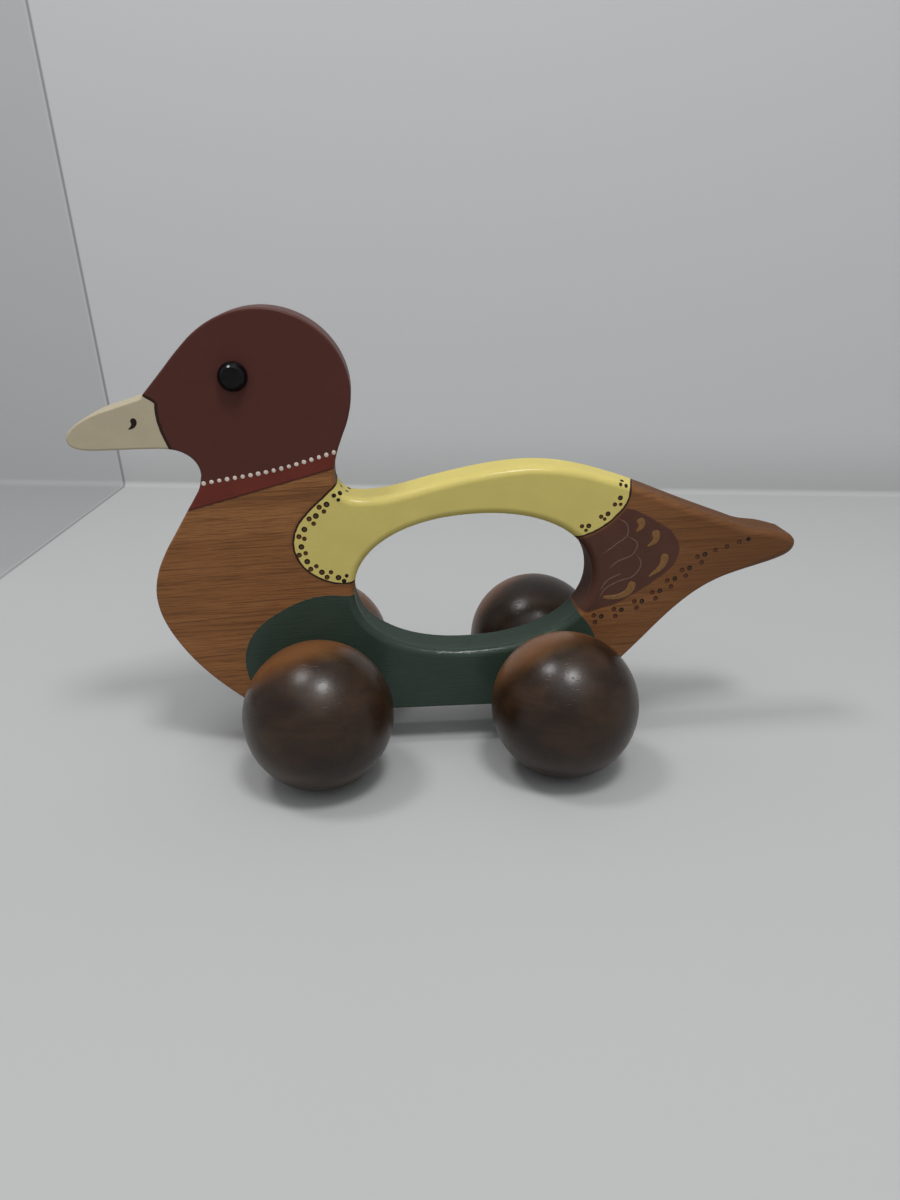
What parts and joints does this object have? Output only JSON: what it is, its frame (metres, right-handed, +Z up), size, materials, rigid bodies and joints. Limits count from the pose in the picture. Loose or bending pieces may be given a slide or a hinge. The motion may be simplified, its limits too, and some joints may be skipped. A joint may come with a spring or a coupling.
{
  "type": "push-along duck toy",
  "caption": "Push-along wooden duck sawn from a board, with a grip hole under its back, button eyes, and ball wheels on dowel axles that turn freely.",
  "frame": {"origin": "on the floor below the board's middle plane, midway between the beak tip and the tail tip", "axes": "+X from the beak to the tail, +Y to the duck's right side along the axles, +Z up"},
  "size_m": [0.2796, 0.1256, 0.1754],
  "materials": {
    "varnished_wood": "painted and varnished, satin",
    "black_lacquer": "gloss lacquer",
    "dowel": "bare",
    "walnut_stain": "stained and varnished, satin"
  },
  "bodies": {
    "duck": {"duck_body": "varnished_wood", "left_eye": "black_lacquer", "right_eye": "black_lacquer"},
    "front_wheelset": {"front_axle": "dowel", "front_left_wheel": "walnut_stain", "front_right_wheel": "walnut_stain"},
    "rear_wheelset": {"rear_axle": "dowel", "rear_left_wheel": "walnut_stain", "rear_right_wheel": "walnut_stain"}
  },
  "joints": [
    {"name": "front_axle_spin", "type": "hinge", "parent": "duck", "child": "front_wheelset", "pos_m": [-0.0537, 0, 0.02844], "axis": [0, 1, 0], "continuous": true},
    {"name": "rear_axle_spin", "type": "hinge", "parent": "duck", "child": "rear_wheelset", "pos_m": [0.04155, 0, 0.02844], "axis": [0, 1, 0], "continuous": true}
  ]
}
